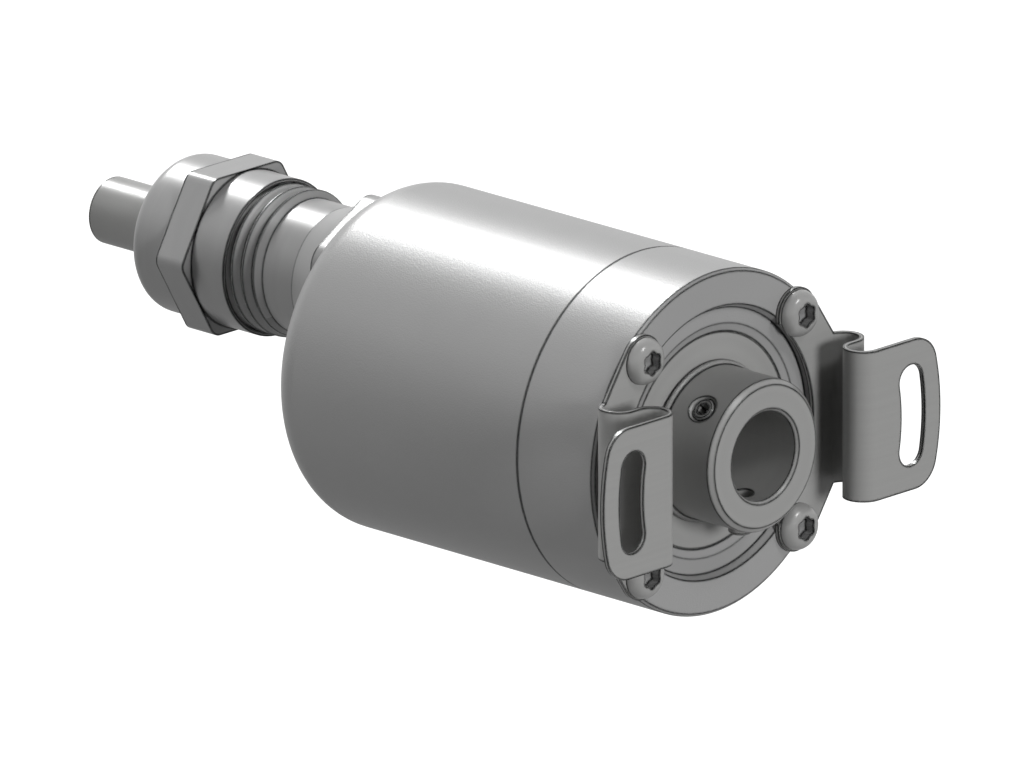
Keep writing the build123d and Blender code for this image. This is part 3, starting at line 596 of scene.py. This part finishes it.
def makeGlandBody(spec):
    hexAt = hexRadius(spec["hexSize"], spec["hexCorner"])
    count = spec["segments"]
    front = [(spec["threadStart"], spec["boreRadius"]), (spec["start"], spec["boreRadius"])]
    front += [(spec["start"], spec["entryRadius"]), (spec["faceStart"], spec["entryRadius"])]
    front += [(spec["faceStart"], hexAt), (spec["hexEnd"], hexAt), (spec["hexEnd"], spec["coneRadius"])]
    front += [(spec["neckStart"], spec["neckRadius"]), (spec["threadStart"], spec["neckRadius"])]
    back = [(spec["threadEnd"], spec["neckRadius"]), (spec["threadEnd"], spec["seatRadius"])]
    back += [(spec["seatStart"], spec["seatRadius"]), (spec["seatStart"], spec["boreRadius"])]
    back += [(spec["threadStart"], spec["boreRadius"])]
    verts, faces = [], []
    for made in (threadRings(spec, count), lathe(front, count, spec["centreHeight"], closed=False),
                 lathe(back, count, spec["centreHeight"], closed=False)):
        joinMesh(verts, faces, made)
    piece = addPiece("glandBodyThreaded", verts, faces, "glandMetal", "housing", "gland_metal",
                     spec["sharpAngle"])
    # The thread takes a paler finish than the rest of the body: painted light on flanks that the housing
    # shades.
    piece.data.materials.append(finishes["glandThreadPaintedLight"])
    paleStart = spec["threadStart"] + spec["paleFrom"]
    for polygon in piece.data.polygons:
        middle = polygon.center / mm
        reach = math.hypot(middle.x, middle.z - spec["centreHeight"])
        if middle.y > paleStart and reach > spec["neckRadius"] - spec["paleMargin"]:
            polygon.material_index = 1
    closeSeams(piece, seamRules)
    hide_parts("gland_body")


makeGlandBody(glandBody)
print("gland body made")


# Screws that hold the springs, with a six-lobed recess in each head

springScrew = {
    "offset": 18.15, "seat": -0.8, "height": 2.2, "side": 0.12, "headRadius": 3.95, "crownRadius": 2.1,
    "domeSteps": 14, "shankRadius": 2.0, "shankEnd": 8.0, "tipChamfer": 0.4, "lobeCount": 6,
    "lobeOuter": 1.96, "lobeInner": 1.62, "recess": 1.7, "recessTip": 0.3, "recessTaper": 0.15,
    "rim": 0.06, "sharpAngle": 30, "segments": 96,
}


def makeSpringScrews(spec):
    count = spec["segments"]
    top = spec["seat"] - spec["height"]
    middle = (spec["lobeOuter"] + spec["lobeInner"]) / 2
    swing = (spec["lobeOuter"] - spec["lobeInner"]) / 2

    def lobe(shrink):
        return lambda turn: middle - shrink + swing * math.cos(spec["lobeCount"] * turn)

    floor = top + spec["recess"]
    rings = [(floor + spec["recessTip"], axisRadius), (floor, lobe(spec["recessTaper"])),
             (top + spec["rim"], lobe(0.0)), (top, lobe(-spec["rim"])), (top, spec["crownRadius"])]
    recessRings = 3
    # The dome rounds over from the crown's rim to a short straight side.
    rise = spec["height"] - spec["side"]
    reach = spec["headRadius"] - spec["crownRadius"]
    for step in range(1, spec["domeSteps"] + 1):
        turn = math.pi / 2 * step / spec["domeSteps"]
        rings.append((top + rise * (1 - math.cos(turn)), spec["crownRadius"] + reach * math.sin(turn)))
    shank, end, chamfer = spec["shankRadius"], spec["shankEnd"], spec["tipChamfer"]
    rings += [(spec["seat"], spec["headRadius"]), (spec["seat"], shank), (end - chamfer, shank)]
    rings += [(end, shank - chamfer), (end, axisRadius)]
    one = lathe(rings, count, 0, closed=False)
    verts, faces = [], []
    for sideX in (-1, 1):
        for sideZ in (-1, 1):
            joinMesh(verts, faces, one, (sideX * spec["offset"], 0, sideZ * spec["offset"]))
    piece = addPiece("springScrews", verts, faces, "screwSteel", "housing", "screw_steel",
                     spec["sharpAngle"])
    # The recess faces take the darker finish, which is painted shade in the recess.
    piece.data.materials.append(finishes["screwRecessPaintedShade"])
    for polygon in piece.data.polygons:
        if polygon.index % len(one[1]) < recessRings * count:
            polygon.material_index = 1
    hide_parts("coupling_screws")


makeSpringScrews(springScrew)
print("spring screws made")


# Wire ends at the cut of the cable

cableCores = {
    "centreHeight": 10.3, "start": 71.0, "end": 137.16, "coreRadius": 1.33, "ringRadius": 2.68, "count": 6,
    "wireRadius": 0.82, "sleeveEdge": 0.06, "segments": 36, "strandRadius": 0.26, "strandRing": 0.54,
    "strandCount": 6, "strandStart": 2.0, "strandEnd": 0.1, "strandEdge": 0.05, "strandTip": 0.02,
    "strandTaper": 0.75, "strandSegments": 14,
}


def sleeveMesh(spec):
    radius, inner, edge = spec["coreRadius"], spec["wireRadius"], spec["sleeveEdge"]
    start, end = spec["start"], spec["end"]
    rings = [(start, inner), (start, radius), (end - edge, radius), (end, radius - edge), (end, inner)]
    return lathe(rings, spec["segments"], 0)


def strandMesh(spec):
    radius = spec["strandRadius"]
    start, end = spec["end"] - spec["strandStart"], spec["end"] - spec["strandEnd"]
    rings = [(start, axisRadius), (start, radius), (end - spec["strandEdge"], radius),
             (end, radius * spec["strandTaper"]), (end + spec["strandTip"], axisRadius)]
    return lathe(rings, spec["strandSegments"], 0, closed=False)


def ringPlaces(radius, count):
    # The middle and a ring round it.
    turns = [2 * math.pi * i / count for i in range(count)]
    return [(0, 0)] + [(radius * math.cos(turn), radius * math.sin(turn)) for turn in turns]


def makeCableCores(spec):
    sleeve, strand = sleeveMesh(spec), strandMesh(spec)
    sleeves, strands = ([], []), ([], [])
    for x, z in ringPlaces(spec["ringRadius"], spec["count"]):
        z += spec["centreHeight"]
        joinMesh(*sleeves, sleeve, (x, 0, z))
        for dx, dz in ringPlaces(spec["strandRing"], spec["strandCount"]):
            joinMesh(*strands, strand, (x + dx, 0, z + dz))
    sleevePiece = addPiece("coreSleeves", *sleeves, "corePlastic", "housing", "core_plastic")
    addPiece("coreStrands", *strands, "gearBrass", "housing", "gear_brass")
    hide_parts("cable_cores")


makeCableCores(cableCores)
print("cable cores made")


# Floor, light and camera

stageSetup = {
    "floorHeight": -150.0, "floorSize": 6000.0, "floorTone": 0.14, "floorRoughness": 0.9,
    "floorGlow": 0.95, "glossyShare": 0.35,
}


def lightPathMask(tree, place, glossyShare):
    # 1 where the camera or a ray through glass looks, and the given share for a ray in gloss.
    path = addNode(tree, "ShaderNodeLightPath", place)
    glossy = addMath(tree, "MULTIPLY", (place[0] + 200, place[1] - 200),
                     path.outputs["Is Glossy Ray"], glossyShare)
    both = addMath(tree, "MAXIMUM", (place[0] + 200, place[1]), path.outputs["Is Camera Ray"], glossy)
    return addMath(tree, "MAXIMUM", (place[0] + 400, place[1]), both, path.outputs["Is Transmission Ray"])


def makeFloor(spec):
    half = spec["floorSize"] / 2
    height = spec["floorHeight"]
    corners = [(-half, -half, height), (half, -half, height), (half, half, height), (-half, half, height)]
    mesh = bpy.data.meshes.new("paleFloor")
    mesh.from_pydata([(x * mm, y * mm, z * mm) for x, y, z in corners], [], [(0, 1, 2, 3)])
    floor = bpy.data.objects.new("paleFloor", mesh)
    bpy.context.scene.collection.objects.link(floor)
    material, tree, shader = newMaterial("paleFloor")
    tone = spec["floorTone"]
    shader.inputs["Base Color"].default_value = (tone, tone, tone, 1)
    shader.inputs["Roughness"].default_value = spec["floorRoughness"]
    shader.inputs["Emission Color"].default_value = (1, 1, 1, 1)
    seen = lightPathMask(tree, (-700, -300), spec["glossyShare"])
    glow = addMath(tree, "MULTIPLY", (-50, -300), seen, spec["floorGlow"])
    tree.links.new(glow, shader.inputs["Emission Strength"])
    mesh.materials.append(material)


# The world is white where it is seen, and lights the part only a little.
worldSetup = {"lightStrength": 0.03, "seenStrength": 1.0, "glossyShare": 1.0}


def makeWorld(spec):
    world = bpy.data.worlds.new("softRoom")
    world.use_nodes = True
    tree = world.node_tree
    background = tree.nodes["Background"]
    background.inputs["Color"].default_value = (1, 1, 1, 1)
    seen = lightPathMask(tree, (-700, 0), spec["glossyShare"])
    strength = spread(tree, (-50, 0), seen, spec["lightStrength"], spec["seenStrength"], 0, 1)
    tree.links.new(strength, background.inputs["Strength"])
    bpy.context.scene.world = world


# A sun shines the same from any distance, so this only sets where its holder stands, in metres.
lampDistance = 1.5

# Each direction points from the part to the lamp. A lamp without glare lights the part but
# doesn't show in its gloss.
lamps = {
    "backKey": dict(direction=(0.245, 0.661, 0.709), power=2.9, spreadAngle=12, glare=True),
    "frontKey": dict(direction=(-0.15, -0.97, 0.19), power=2.2, spreadAngle=15, glare=False),
    "sideFill": dict(direction=(-0.65, 0.657, 0.38), power=1.35, spreadAngle=30, glare=False),
    "topFill": dict(direction=(0.05, -0.70, 0.71), power=0.65, spreadAngle=12, glare=True),
}


def makeLamp(name, direction, power, spreadAngle, glare):
    lamp = bpy.data.lights.new(name, "SUN")
    lamp.energy = power
    lamp.angle = math.radians(spreadAngle)
    holder = bpy.data.objects.new(name, lamp)
    holder.rotation_mode = "QUATERNION"
    holder.rotation_quaternion = Vector(direction).to_track_quat("Z", "Y")
    holder.location = Vector(direction) * lampDistance
    holder.visible_glossy = glare
    bpy.context.scene.collection.objects.link(holder)


# The clip distances are in metres.
cameraSetup = {
    "target": (0.0, 46.0, 0.0), "azimuth": -46.13, "elevation": 17.35,
    "lens": 1200.0, "sensor": 36.0, "widthSeen": 166.96, "clipNear": 0.1, "clipPast": 5,
}


def makeCamera(spec):
    data = bpy.data.cameras.new("photoCamera")
    data.sensor_width = spec["sensor"]
    data.lens = spec["lens"]
    azimuth, elevation = math.radians(spec["azimuth"]), math.radians(spec["elevation"])
    back = Vector((math.sin(azimuth) * math.cos(elevation), -math.cos(azimuth) * math.cos(elevation),
                   math.sin(elevation)))
    distance = spec["widthSeen"] * mm * spec["lens"] / spec["sensor"]
    data.clip_start = spec["clipNear"]
    data.clip_end = distance + spec["clipPast"]
    camera = bpy.data.objects.new("photoCamera", data)
    camera.rotation_mode = "QUATERNION"
    camera.rotation_quaternion = (-back).to_track_quat("-Z", "Y")
    camera.location = Vector(spec["target"]) * mm + back * distance
    bpy.context.scene.collection.objects.link(camera)
    bpy.context.scene.camera = camera


makeFloor(stageSetup)
makeWorld(worldSetup)
for name, values in lamps.items():
    makeLamp(name, **values)
makeCamera(cameraSetup)
bpy.context.scene.view_settings.view_transform = "Standard"
print("stage set")
